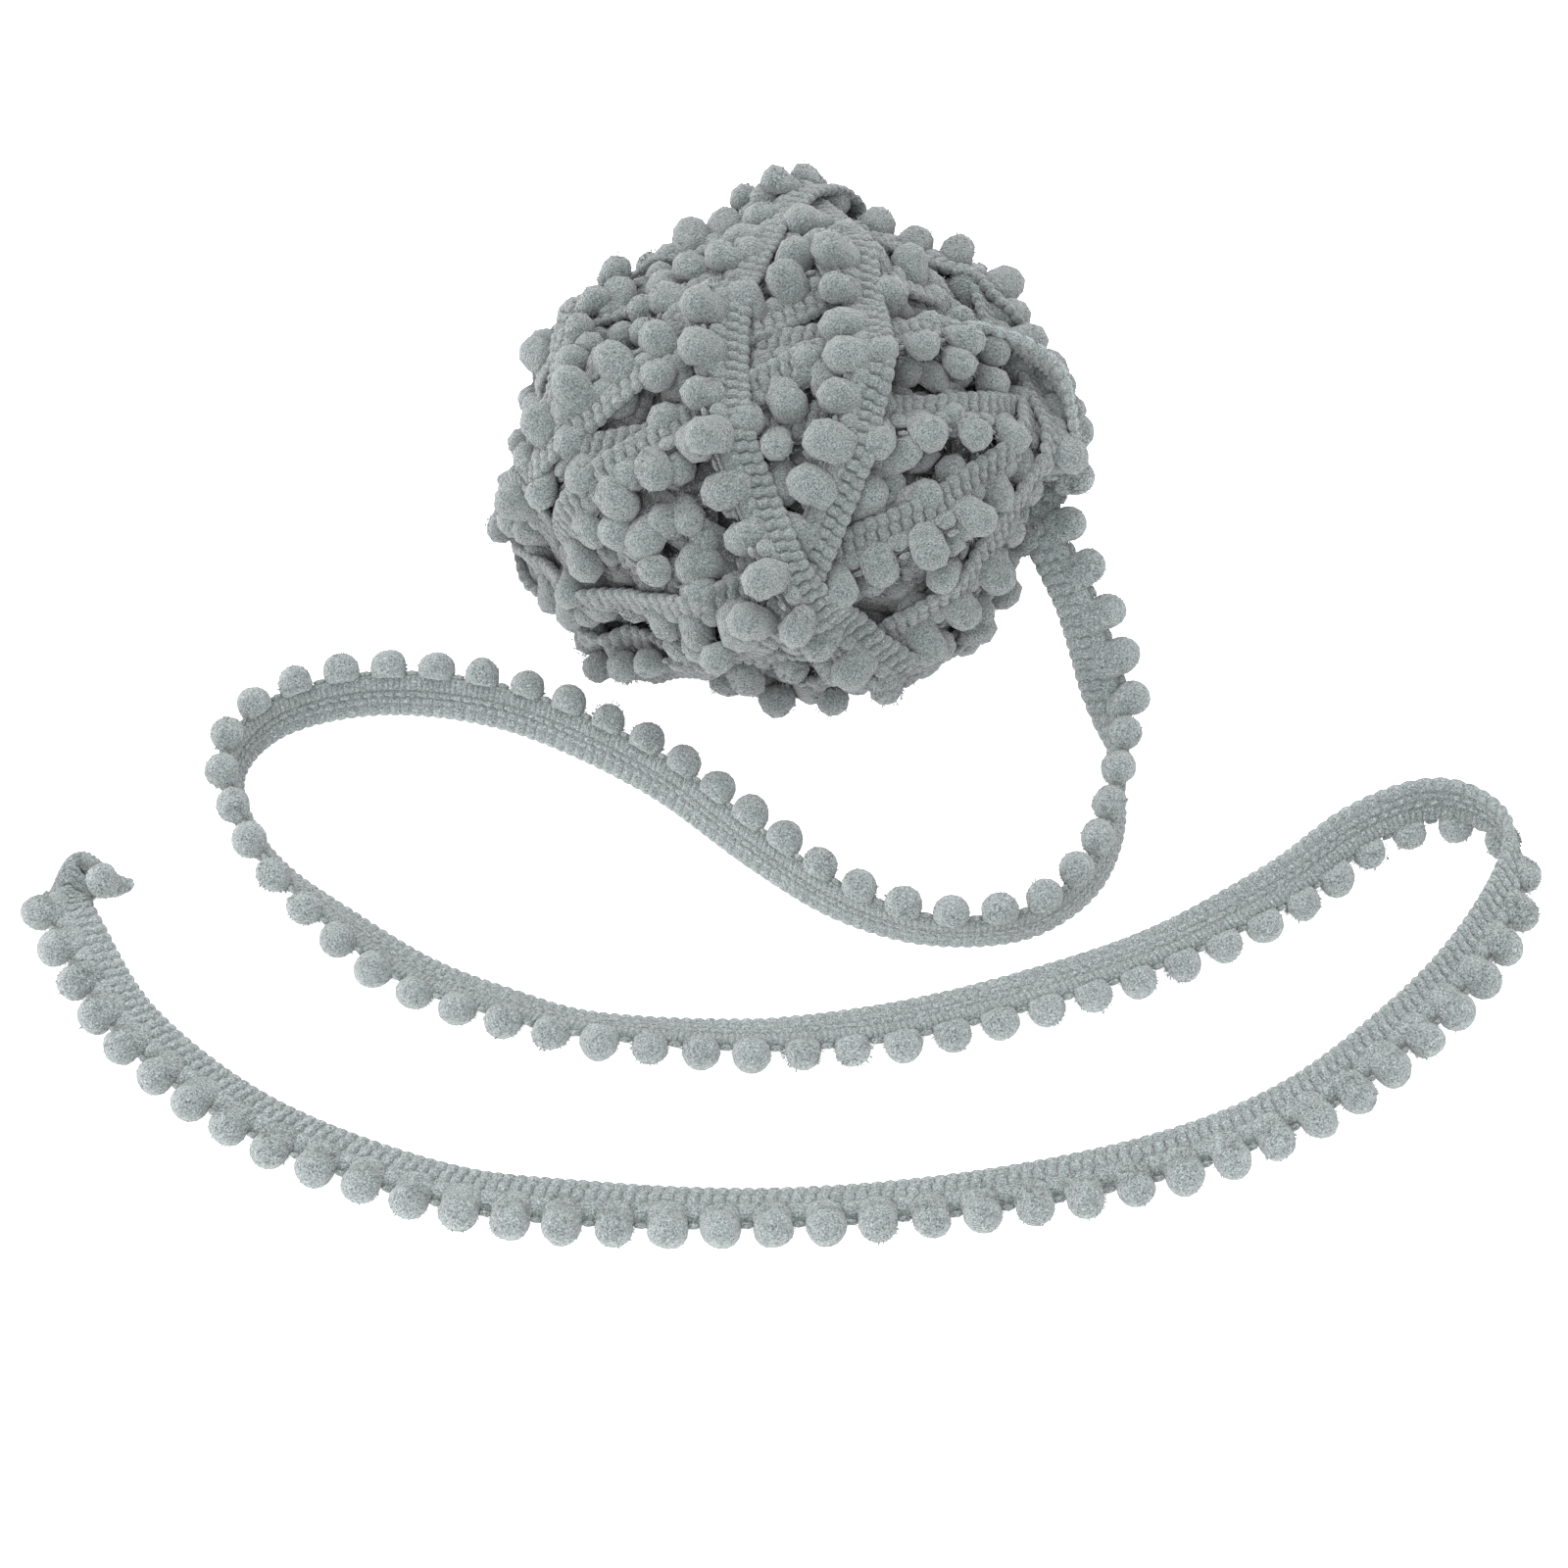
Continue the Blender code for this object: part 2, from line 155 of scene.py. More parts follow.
# the wound length, in millimetres: each turn lies on the heights that the turns before it left round a
# flattened sphere
ball = {
    "core": 35.6,
    "coreInset": 1.5,
    "coreShade": 12.0,
    "flattening": 0.738,
    "centreHeight": 35.6,
    "slack": 0.4,
    "pullRounds": 900,
    "middle": 4.2,  # across, where a turn's line runs
    "halfWidth": 2.3,
    "mostLean": 1.4,
    "beds": ((-2.2, 3.0), (2.4, 3.2)),  # aside of the line and reach, for the tape's and the plush's half
    # a turn's cross profile: aside of the line, and how much the tape and the plush raise the ball there
    "profile": (-4.4, -3.4, -0.4, 0.4, 3.6, 4.4),
    "tapeRise": 1.7,
    "plushRise": 2.6,
    # a pompom on a turn: aside of the line, reach and share of its bed, least and most rise, own reach
    "pompomAside": 4.1,
    "pompomBed": (2.2, 60),
    "pompomRise": (-1.4, 1.8),
    "pompomReach": 3.6,
    "innerTurns": 14,
    "innerAngle": 137.5,
    "innerShift": 0.12,
    "innerPompom": 0.37,
    "innerPacking": 0.3,
    "outerPacking": 0.85,
    # azimuth and elevation of the normal, shift along it in radii, first pompom as a share of a pitch
    "outerTurns": (
        (20, 12, 0.30, 0.1), (-150, 25, -0.15, 0.6), (65, -28, -0.25, 0.3), (-20, 62, 0.05, 0.8),
        (150, -8, 0.32, 0.0), (-100, 50, -0.20, 0.5), (-85, -10, -0.02, 0.2), (-82, -30, 0.03, 0.7),
        (-63, -10, 0.13, 0.4), (117, 3, 0.10, 0.0), (-38, -58, 0.08, 0.5), (28, -59, 0.08, 0.1),
        (78, -38, 0.24, 0.6), (-175, 27, 0.19, 0.9), (172, -31, -0.32, 0.3),
    ),
    # how much of the bed lies lower than a turn, in percent: the last ones were laid over everything
    "bedShare": 75,
    "lastTurns": 2,
    "lastBedShare": 92,
    # where it was wound fuller or slacker: azimuth, elevation, share of the radius
    "swells": (
        (104, 38, -0.120), (62, 41, 0.060), (158, 14, 0.060), (14, 9, -0.045), (-136, -27, -0.070),
        (-112, -38, 0.030), (-38, -23, -0.045), (-62, -38, 0.020), (-90, -34, -0.030),
        (90, 85, -0.040),
    ),
    "swellReach": 24,  # degrees
    "evenedOver": 7.0,
    "about": 45.0,  # its radius there, near enough
    "envelopeLift": 1.5,
    "ownShade": 5.3,  # painted shade: the outermost turns are painted as if lying this far down, darker than the free end
    "pressed": 1.5,
}
turnSteps = 240
fieldCount = 12000
fieldChunk = 2000
pointChunk = 4000


def direction(azimuth, elevation):
    azimuth, elevation = math.radians(azimuth), math.radians(elevation)
    return np.array((math.cos(azimuth) * math.cos(elevation), math.sin(azimuth) * math.cos(elevation),
                     math.sin(elevation)))


def evenDirections(count):
    k = np.arange(count) + 0.5
    height = 1 - 2 * k / count
    turn = k * math.pi * (3 - math.sqrt(5))
    ring = np.sqrt(1 - height ** 2)
    return np.stack((ring * np.cos(turn), ring * np.sin(turn), height), axis=1)


def swelling(ways):
    share = np.ones(len(ways))
    for azimuth, elevation, more in ball["swells"]:
        apart = np.degrees(np.arccos(np.clip(ways @ direction(azimuth, elevation), -1, 1)))
        share += more * np.exp(-(apart / ball["swellReach"]) ** 2)
    return share


def flattened(points):
    share = swelling(points / np.linalg.norm(points, axis=1, keepdims=True))[:, None]
    return points * share * (1, 1, ball["flattening"]) + (0, 0, ball["centreHeight"] * mm)


def pulledTight(under):
    chord = 2 * math.cos(2 * math.pi / len(under))
    radius = np.full(len(under), under.max())
    for _ in range(ball["pullRounds"]):
        radius = np.maximum(under, chord / (1 / np.roll(radius, 1) + 1 / np.roll(radius, -1)))
    return radius * (1 - ball["slack"]) + under * ball["slack"]


def heightsUnder(field, radius, line, reach, share):
    covered = line @ field.T > math.cos(reach * mm / radius.mean())
    under = np.array([np.percentile(radius[row], share) for row in covered])
    return (np.roll(under, 1) + under + np.roll(under, -1)) / 3


# lays one turn, raises the field by it and returns its route and the (length, rise) of its pompoms
def layTurn(field, radius, normal, shift, firstPompom, packing, share):
    mean = radius.mean()
    side = np.cross(normal, (0.0, 0.0, 1.0))
    side /= np.linalg.norm(side)
    other = np.cross(normal, side)
    angle = np.linspace(0, 2 * math.pi, turnSteps, endpoint=False)[:, None]
    flat = np.cos(angle) * side + np.sin(angle) * other

    def circle(aside):  # millimetres from the turn's line towards its pompoms
        tilt = math.asin(shift) + aside * mm / mean
        return math.sin(tilt) * normal + math.cos(tilt) * flat

    middle = circle(0)
    lowLie, highLie = (pulledTight(heightsUnder(field, radius, circle(aside), reach, share))
                       for aside, reach in ball["beds"])
    lean = np.clip(highLie - lowLie, -ball["mostLean"] * mm, ball["mostLean"] * mm)
    lie = (lowLie + highLie) / 2
    low = circle(-ball["halfWidth"]) * (lie - lean / 2)[:, None]
    high = circle(ball["halfWidth"]) * (lie + lean / 2)[:, None]
    outward = middle / (1, 1, ball["flattening"] ** 2)
    outward = outward / np.linalg.norm(outward, axis=1, keepdims=True)
    centre = flattened((low + high) / 2) + outward * (0.8 * mm * (0.2 + packing))
    route = makeRoute(centre, flattened(high) - flattened(low), True, ball["middle"], outward)

    count = round(route["total"] / (trim["pompomPitch"] * mm))
    bedReach, bedPercent = ball["pompomBed"]
    leastRise, mostRise = ball["pompomRise"]
    pompoms = []
    for k in range(count):
        s = (k + firstPompom) / count * route["total"]
        i = round(float(np.interp(s, route["length"], np.arange(turnSteps + 1)))) % turnSteps
        spot = middle[i] + normal * (ball["pompomAside"] * mm / mean)
        spot /= np.linalg.norm(spot)
        apart = np.arccos(np.clip(field @ spot, -1, 1)) * mean / mm
        bed = np.percentile(radius[apart < bedReach], bedPercent)
        stand = bed + trim["pompomRadius"] * mm * (0.25 + 0.55 * packing)
        rise = np.clip(stand - lie[i], leastRise * mm, mostRise * mm)
        pompoms.append((s, rise / mm))
        swell = np.maximum(0, 1 - (apart / ball["pompomReach"]) ** 2) ** 0.6
        top = lie[i] + rise + trim["pompomRadius"] * mm * packing * (1.5 * swell - 0.5)
        inside = apart < ball["pompomReach"]
        radius[inside] = np.maximum(radius[inside], top[inside])
    nearest = (middle @ field.T).argmax(axis=0)
    aside = (np.arcsin(np.clip(field @ normal, -1, 1)) - math.asin(shift)) * mean / mm
    rise = np.interp(aside, ball["profile"],
                     (0, ball["tapeRise"], ball["tapeRise"], ball["plushRise"], ball["plushRise"], 0))
    raised = lie[nearest] + rise * mm * packing
    raised[np.abs(aside) > ball["profile"][-1]] = 0
    np.maximum(radius, raised, out=radius)
    return {"route": route, "pompoms": pompoms, "pitch": route["total"] / count}


def windBall():
    field = evenDirections(fieldCount)
    radius = np.full(fieldCount, ball["core"] * mm)
    turns = []
    for k in range(ball["innerTurns"]):
        elevation = math.degrees(math.asin(1 - 2 * (k + 0.5) / ball["innerTurns"]))
        normal = direction(k * ball["innerAngle"], elevation)
        shift, firstPompom = ball["innerShift"] * (-1) ** k, ball["innerPompom"] * k % 1
        turns.append(layTurn(field, radius, normal, shift, firstPompom, ball["innerPacking"], ball["bedShare"]))
    last = len(ball["outerTurns"]) - ball["lastTurns"]
    for k, (azimuth, elevation, shift, firstPompom) in enumerate(ball["outerTurns"]):
        normal = direction(azimuth, elevation)
        share = ball["lastBedShare" if k >= last else "bedShare"]
        turns.append(layTurn(field, radius, normal, shift, firstPompom, ball["outerPacking"], share))
    return turns, field, radius


# the knitted tape: beads along the heading edge, two rows of bricks on the front, rows and soft ribs behind
knit = {
    "bead": (0.42, 1.08),  # half thickness between two beads and on one
    "brick": (0.42, 1.05),
    "backBrick": (0.5, 0.95),
    "rib": (0.6, 1.0),
    "seam": 0.74,
    "backSeam": 0.5,
    "underPlush": 0.6,
    "hollow": 0.3,
    "rim": 0.0,
    "edgeSwell": 0.32,
    "freeShadeContrast": 0.45,  # painted shade between the stitches, as a share of the ball's
    "cutEnd": (4.5, 0.6, 6.6),  # over this length the heading's corner draws in, by this share, to this line
    # painted shade down between two stitches, where the yarn lies in shade
    "grooveShade": {
        "bead": 0.55, "brick": 1.0, "backBrick": 0.8, "rib": 0.75, "edge": 0.6, "backSeam": 0.6,
        "underPlush": 0.3, "hollow": 1.0, "rim": 0.2, "seam": 0.8,
    },
}
# across, side (1 front, -1 back), kind, offset along in stitches
frontSections = (
    (0.0, 0, "edge", 0), (0.3, 1, "bead", 0), (0.9, 1, "bead", 0), (1.5, 1, "bead", 0),
    (1.84, 1, "seam", 0.2), (2.1, 1, "brick", 0.3), (2.75, 1, "brick", 0.3), (3.4, 1, "brick", 0.3),
    (3.7, 1, "seam", 0.4), (4.0, 1, "brick", 0.6), (4.7, 1, "brick", 0.6), (5.4, 1, "underPlush", 0),
    (6.1, 1, "underPlush", 0), (6.6, 1, "hollow", 0), (7.1, 0, "rim", 0),
)
fineBack = (
    (6.85, -1, "rib", 0), (5.8, -1, "rib", 0), (4.75, -1, "rib", 0), (4.45, -1, "backSeam", 0),
    (4.1, -1, "backBrick", 0.5), (3.6, -1, "backBrick", 0.5), (3.3, -1, "backSeam", 0),
    (2.95, -1, "backBrick", 0), (2.4, -1, "backBrick", 0), (2.1, -1, "backSeam", 0), (1.5, -1, "bead", 0),
    (0.9, -1, "bead", 0), (0.3, -1, "bead", 0),
)
plainBack = ((6.6, -1, "underPlush", 0), (3.0, -1, "underPlush", 0), (0.7, -1, "bead", 0))
stitchSteps = {
    "fine": (0, 0.1, 0.28, 0.5, 0.72, 0.9),
    "wound": (0, 0.19, 0.5, 0.81),
    "buriedShade": (0,),
}


def pulse(share, sharpness):
    return 1 - np.abs(2 * (share % 1.0) - 1) ** sharpness  # 0 in the groove between two, 1 on the middle


# (off the middle plane, aside, painted shade in the groove) in one section of the tape, for each stitch count
def sectionShape(across, side, kind, stitch):
    grooveShade = knit["grooveShade"][kind]
    if kind == "seam":
        crossing = pulse(stitch, 4)
        return (knit["seam"] + 0.12 * crossing) * side, 0, grooveShade - 0.45 * crossing
    if kind in ("backSeam", "underPlush", "hollow", "rim"):
        return np.full(len(stitch), knit[kind] * side), 0, grooveShade
    if kind == "edge":
        bead = pulse(stitch, 2.2)
        return np.zeros(len(stitch)), -knit["edgeSwell"] * bead, grooveShade * (1 - bead)
    between, on = knit[kind]
    if kind == "rib":
        share = pulse(2 * stitch, 2)
        return (between + (on - between) * share) * side, 0, grooveShade * (1 - share)
    share = pulse(stitch, 2.2 if kind == "bead" else 3.0)
    dome = math.sqrt(1 - ((across - 0.9) / 1.05) ** 2) if kind == "bead" else 1.0
    if kind == "bead" and side < 0:
        share = 0.25 + 0.75 * share
    return (between + (on - between) * share) * dome * side, 0, grooveShade * (1 - share) ** 1.3


# jobs holds (route, pitch, a place midway between two pompoms)
def makeStrip(name, jobs, steps, back, buriedShade, shadeContrast=1.0):
    whole = bmesh.new()
    steps = np.array(steps, float)
    sections = frontSections + back
    for route, pitch, start in jobs:
        stitch = pitch / trim["stitchesPerPompom"]
        count = round(route["total"] / stitch)
        shares = np.concatenate([k + steps for k in range(count)] + [[count]])
        bm = bmesh.new()
        bmesh.ops.create_grid(bm, x_segments=len(shares) - 1, y_segments=len(sections), size=0.5)
        grid = np.array([vert.co[:2] for vert in bm.verts]) + 0.5
        part = bpy.data.meshes.new("turn")
        bm.to_mesh(part)
        bm.free()
        i = np.rint(grid[:, 0] * (len(shares) - 1)).astype(int)
        j = np.rint(grid[:, 1] * len(sections)).astype(int) % len(sections)
        local = shares * route["total"] / count
        points = np.empty((len(grid), 3))
        pitShades = np.empty(len(grid))
        for k, (across, side, kind, offset) in enumerate(sections):
            here = j == k
            off, aside, pitShade = sectionShape(across, side, kind, shares)
            s = local + start + offset * stitch if route["closed"] else local + offset * stitch
            place = np.full(len(shares), across) + aside
            if not route["closed"]:
                reach, drawn, line = knit["cutEnd"]
                place += drawn * (line - place) * np.clip(1 - (route["total"] - s) / (reach * mm), 0, 1) ** 2
            points[here] = placeOn(route, s, place, off)[i[here]]
            pitShades[here] = (np.full(len(shares), shadeContrast) * pitShade)[i[here]]
        part.vertices.foreach_set("co", points.ravel())
        # painted shade in the grooves between the stitches
        part.attributes.new("pitShade", "FLOAT", "POINT").data.foreach_set("value", pitShades)
        # painted shade by how far under the outermost turns
        part.attributes.new("buriedShade", "FLOAT", "POINT").data.foreach_set("value", buriedShade(points))
        whole.from_mesh(part)
        bpy.data.meshes.remove(part)
    bmesh.ops.remove_doubles(whole, verts=whole.verts, dist=1e-7)
    openEdges = [edge for edge in whole.edges if edge.is_boundary]
    if openEdges:
        bmesh.ops.holes_fill(whole, edges=openEdges, sides=0)
    bmesh.ops.recalc_face_normals(whole, faces=whole.faces)
    return finishPiece(whole, name)


def finishPiece(bm, name):
    mesh = bpy.data.meshes.new(name)
    bm.to_mesh(mesh)
    bm.free()
    mesh.shade_smooth()
    piece = bpy.data.objects.new(name, mesh)
    scene.collection.objects.link(piece)
    return piece


# plush on the front: a tuft is a pompom with the dome that roots it, a bud stands between two tufts,
# and a loop of yarn joins two tufts at the edge
plush = {
    "pompom": ((0, 8.3, 0.4), (3.0, 3.0, 2.85)),  # middle as along, across, off, then radii
    "dome": ((0, 5.6, 0.3), (3.1, 2.6, 1.45)),
    "tuftMiddle": (0, 7.1, 0.4),
    "bud": ((0, 4.9, 0.35), (1.8, 1.6, 0.75)),
    "loop": ((0, 7.35, 0.0), (1.25, 0.55, 0.55)),
    "edgeLine": (6.6, 7.9),  # the back of a tuft stays inside the tape up to here
    "lumps": 0.09,
    "freeSizes": (0.97, 1.04),
    "woundSizes": (0.92, 1.16),
    "rough": 0.05,
    # cut ends that stand off the plush: millimetres long, thick, set in, and how far they lean
    "endLength": (0.35, 0.85),
    "endThickness": 0.2,
    "endRoot": 0.3,
    "endLean": 0.55,
    "freeEnds": 200,  # a tuft
    "woundEnds": 90,
    "underEnds": 50,
    "rises": (3.6, 4.7),  # a tuft lifts off the tape from here, over this width
    # on the ball: where a tuft's depth is taken, across and off, and how deep each part is still made in full
    "depthTakenAt": (6.9, 1.0),
    "fuzzyDownTo": 1.5,
    "shownDownTo": 5,
    "budsDownTo": 4,
    "loopsDownTo": 2,
}


def rayReach(ways, start, middle, radii):
    radii, shift = np.array(radii), np.array(start) - middle
    a = ((ways / radii) ** 2).sum(1)
    b = (ways * shift / radii ** 2).sum(1)
    c = ((shift / radii) ** 2).sum() - 1
    return (-b + np.sqrt(b * b - a * c)) / a


def unitBall(detail):
    bm = bmesh.new()
    bmesh.ops.create_icosphere(bm, subdivisions=detail, radius=1.0)
    mesh = bpy.data.meshes.new("start")
    bm.to_mesh(mesh)
    ways = np.array([vert.co.normalized() for vert in bm.verts])
    bm.free()
    return mesh, ways


# how each part shapes the ways out of its middle
def tuftShape(sizes):
    def shape(ways, random):
        start = plush["tuftMiddle"]
        reach = sum(rayReach(ways, start, *plush[part]) ** 6 for part in ("pompom", "dome")) ** (1 / 6)
        waves = np.cos(ways @ random.normal(0, 2.2, (3, 4)) + random.uniform(0, 6.3, 4)).mean(axis=1)
        reach *= (1 + plush["lumps"] * waves) * random.uniform(*plush[sizes])
        points = start + ways * reach[:, None]
        inside = np.interp(points[:, 1], plush["edgeLine"], (-0.45, -3.2))
        points[:, 2] = np.maximum(points[:, 2], inside)
        return points
    return shape


def lumpShape(part):
    def shape(ways, random):
        middle, radii = plush[part]
        rough = 1 + random.uniform(-plush["rough"], plush["rough"], (len(ways), 1))
        return middle + ways * radii * rough
    return shape


# jobs holds (route, [(length, rise)]); each place gives the way there from points across and off the tape
def places(jobs):
    riseFrom, riseOver = plush["rises"]
    for route, spots in jobs:
        s = np.array([spot[0] for spot in spots])
        if len(s) == 0:
            continue
        middles, ahead, across, off = (valuesAlong(route, name, s)
                                       for name in ("points", "ahead", "across", "off"))
        for k, (_, rise) in enumerate(spots):
            def setDown(local, k=k, rise=rise):
                aside = local[:, 1:2] - route["origin"]
                high = local[:, 2:] + rise * np.clip((local[:, 1:2] - riseFrom) / riseOver, 0, 1)
                return middles[k] + (local[:, :1] * ahead[k] + aside * across[k] + high * off[k]) * mm
            yield setDown


# turns of the random ways keep any two copies from being alike
def makePlush(name, jobs, shape, detail, buriedShade, seed):
    random = np.random.default_rng(seed)
    start, ways = unitBall(detail)
    bm = bmesh.new()
    copies = []
    for setDown in places(jobs):
        turned, _ = np.linalg.qr(random.normal(size=(3, 3)))
        copies.append(setDown(shape(ways @ (turned * np.sign(np.linalg.det(turned))), random)))
        bm.from_mesh(start)
    bpy.data.meshes.remove(start)
    bmesh.ops.recalc_face_normals(bm, faces=bm.faces)
    points = np.vstack(copies)
    return finishPlush(bm, name, points, buriedShade(points))


def finishPlush(bm, name, points, buriedShade):
    piece = finishPiece(bm, name)
    piece.data.vertices.foreach_set("co", points.ravel())
    # painted shade by how far under the outermost turns
    piece.data.attributes.new("buriedShade", "FLOAT", "POINT").data.foreach_set("value", buriedShade)
    piece.data.update()
    return piece


# a row of equal small cones, one unit apart, to be set out as the cut ends
def manyCones(count):
    bm = bmesh.new()
    bmesh.ops.create_cone(bm, cap_ends=True, segments=3, radius1=0.3, radius2=0.0, depth=0.6)
    made = 1
    while made < count:
        copied = bmesh.ops.duplicate(bm, geom=bm.verts[:] + bm.edges[:] + bm.faces[:])["geom"]
        bmesh.ops.translate(bm, verts=[item for item in copied if isinstance(item, bmesh.types.BMVert)],
                            vec=(made, 0, 0))
        made *= 2
    bmesh.ops.delete(bm, geom=[vert for vert in bm.verts if vert.co.x > count - 0.5], context="VERTS")
    return bm


def unit(vectors):
    return vectors / np.linalg.norm(vectors, axis=1)[:, None]


def makeFuzz(name, jobs, shape, endsPerTuft, buriedShade, seed):
    random = np.random.default_rng(seed)
    roots, tips = [], []
    for setDown in places(jobs):
        ways = unit(random.normal(size=(endsPerTuft, 3)))
        local = shape(ways, random)
        onBack = (local[:, 2] < 0) & (local[:, 1] < plush["edgeLine"][1])
        ways[onBack] *= (1, 1, -1)
        local[onBack] = shape(ways[onBack], random)
        lean = unit(ways + random.normal(0, plush["endLean"], ways.shape))
        roots.append(setDown(local - ways * plush["endRoot"]))
        tips.append(setDown(local + lean * random.uniform(*plush["endLength"], (len(ways), 1))))
    roots, tips = np.vstack(roots), np.vstack(tips)
    tips[:, 2] = np.maximum(tips[:, 2], 0.02 * mm)
    axis = unit(tips - roots)
    sideways = unit(np.cross(axis, random.normal(size=axis.shape)))
    upright = np.cross(axis, sideways)
    bm = manyCones(len(roots))
    spots = np.array([vert.co[:] for vert in bm.verts])
    cone = np.rint(spots[:, 0]).astype(int)
    spots[:, 0] -= cone
    thick = plush["endThickness"] / 0.6 * mm
    points = roots[cone] + (sideways[cone] * spots[:, :1] + upright[cone] * spots[:, 1:2]) * thick
    points[spots[:, 2] > 0] = tips[cone[spots[:, 2] > 0]]
    points[:, 2] = np.maximum(points[:, 2], 0.01 * mm)
    return finishPlush(bm, name, points, buriedShade(roots)[cone])


# yarn: one dye on chenille plush and on the knitted tape
yarn = {
    "colour": (0.147, 0.169, 0.168),
    # the colour of full painted shade far down in the ball
    "deepShade": (0.03, 0.034, 0.034),
    "shadeDepthRange": (0.0, 16.0),  # painted shade grows from none to full over these millimetres under the outermost turns
    "fibre": 1500.0,  # per metre
    "grain": 3600.0,
    "bump": 0.7,  # millimetres
    "bumpStrength": 0.8,
    "specular": 0.2,
    "sheen": 0.35,
    "sheenRoughness": 0.45,
    "roughness": 0.9,
    # mottle, grain and glint
    "plush": (0.2, 0.7, 0.25),
    "knitted": (0.1, 0.6, 1.0),
}


def yarnMaterial(name, mottle, grain, glint):
    material = bpy.data.materials.new(name)
    material.use_nodes = True
    nodes, links = material.node_tree.nodes, material.node_tree.links
    shader = nodes["Principled BSDF"]
    shader.inputs["Roughness"].default_value = yarn["roughness"]
    shader.inputs["Specular IOR Level"].default_value = yarn["specular"]
    shader.inputs["Sheen Weight"].default_value = yarn["sheen"]
    shader.inputs["Sheen Roughness"].default_value = yarn["sheenRoughness"]
    coordinates = nodes.new("ShaderNodeTexCoord")

    def noise(scale, detail, distortion):
        texture = nodes.new("ShaderNodeTexNoise")
        texture.inputs["Scale"].default_value = scale
        texture.inputs["Detail"].default_value = detail
        texture.inputs["Distortion"].default_value = distortion
        links.new(coordinates.outputs["Object"], texture.inputs["Vector"])
        return texture.outputs["Fac"]

    def attribute(wanted):
        node = nodes.new("ShaderNodeAttribute")
        node.attribute_name = wanted
        return node.outputs["Fac"]

    def spread(value, fromLow, fromHigh, toLow, toHigh):
        node = nodes.new("ShaderNodeMapRange")
        for socket, number in zip(node.inputs[1:5], (fromLow, fromHigh, toLow, toHigh)):
            socket.default_value = number
        links.new(value, node.inputs[0])
        return node.outputs[0]

    def combine(operation, first, second):
        node = nodes.new("ShaderNodeMath")
        node.operation = operation
        links.new(first, node.inputs[0])
        links.new(second, node.inputs[1])
        return node.outputs[0]

    fibre = noise(yarn["fibre"], 2, 1.6)
    fine = noise(yarn["grain"], 2, 0.4)
    tone = combine("MULTIPLY", spread(fibre, 0.3, 0.7, 1 - mottle, 1 + mottle),
                   spread(fine, 0.3, 0.7, 1 - grain, 1 + grain))
    tone = combine("MULTIPLY", tone, spread(noise(70, 1, 0), 0.3, 0.7, 0.95, 1.05))
    # painted shade in the grooves between stitches takes the colour down to 0.22 of itself
    tone = combine("MULTIPLY", tone, spread(attribute("pitShade"), 0, 1, 1.0, 0.22))
    tone = combine("ADD", tone, spread(noise(yarn["grain"] * 0.8, 1, 0), 0.62, 0.74, 0.0, glint))
    # painted shade: the further under the outermost turns, the more the colour turns to the painted shade
    # colour
    shade = spread(attribute("buriedShade"), yarn["shadeDepthRange"][0] * mm, yarn["shadeDepthRange"][1] * mm, 0.0, 1.0)
    scaled = nodes.new("ShaderNodeVectorMath")
    scaled.operation = "SCALE"
    scaled.inputs[0].default_value = yarn["colour"]
    links.new(tone, scaled.inputs["Scale"])
    mix = nodes.new("ShaderNodeMix")
    mix.data_type = "RGBA"
    links.new(shade, mix.inputs[0])
    links.new(scaled.outputs[0], mix.inputs["A"])
    mix.inputs["B"].default_value = (*yarn["deepShade"], 1)
    links.new(mix.outputs["Result"], shader.inputs["Base Color"])
    bump = nodes.new("ShaderNodeBump")
    bump.inputs["Strength"].default_value = yarn["bumpStrength"]
    bump.inputs["Distance"].default_value = yarn["bump"] * mm
    links.new(combine("ADD", fibre, fine), bump.inputs["Height"])
    links.new(bump.outputs[0], shader.inputs["Normal"])
    return material


plushYarn = yarnMaterial("plushYarn", *yarn["plush"])
knittedYarn = yarnMaterial("knittedYarn", *yarn["knitted"])

print("free end")
freeRoute, freeStart = freeEndRoute()
freePitch = trim["pompomPitch"] * mm
firstPompom = freeStart + freeEnd["firstPompom"] * mm
firstPompom -= math.floor(firstPompom / freePitch) * freePitch
freePlaces = list(np.arange(firstPompom, freeRoute["total"] - freeEnd["bareEnd"] * mm, freePitch))
tuftPlaces = [(s, 0.0) for s in (*freePlaces, freeRoute["total"] - trim["pompomRadius"] * mm)]
budPlaces = [(s + freePitch / 2, 0.0) for s in freePlaces]


# the free end gets no painted shade
def noPaintedShade(points):
    return np.zeros(len(points))


freePieces = [
    makeStrip("freeTape", [(freeRoute, freePitch, 0.0)], stitchSteps["fine"], fineBack, noPaintedShade,
              knit["freeShadeContrast"]),
    makePlush("freeTufts", [(freeRoute, tuftPlaces)], tuftShape("freeSizes"), 3, noPaintedShade, 11),
    makeFuzz("freeFuzz", [(freeRoute, tuftPlaces)], tuftShape("freeSizes"), plush["freeEnds"], noPaintedShade, 31),
    makePlush("freeBuds", [(freeRoute, budPlaces)], lumpShape("bud"), 2, noPaintedShade, 12),
    makePlush("freeLoops", [(freeRoute, budPlaces)], lumpShape("loop"), 1, noPaintedShade, 13),
]

print("winding")
turns, field, outermost = windBall()


# the outermost heights evened over the width of a pompom
def smoothEnvelope():
    evened = np.empty(fieldCount)
    for start in range(0, fieldCount, fieldChunk):
        close = field[start:start + fieldChunk] @ field.T > math.cos(ball["evenedOver"] / ball["about"])
        evened[start:start + fieldChunk] = (close @ outermost) / close.sum(axis=1)
    return evened + ball["envelopeLift"] * mm


envelope = smoothEnvelope()


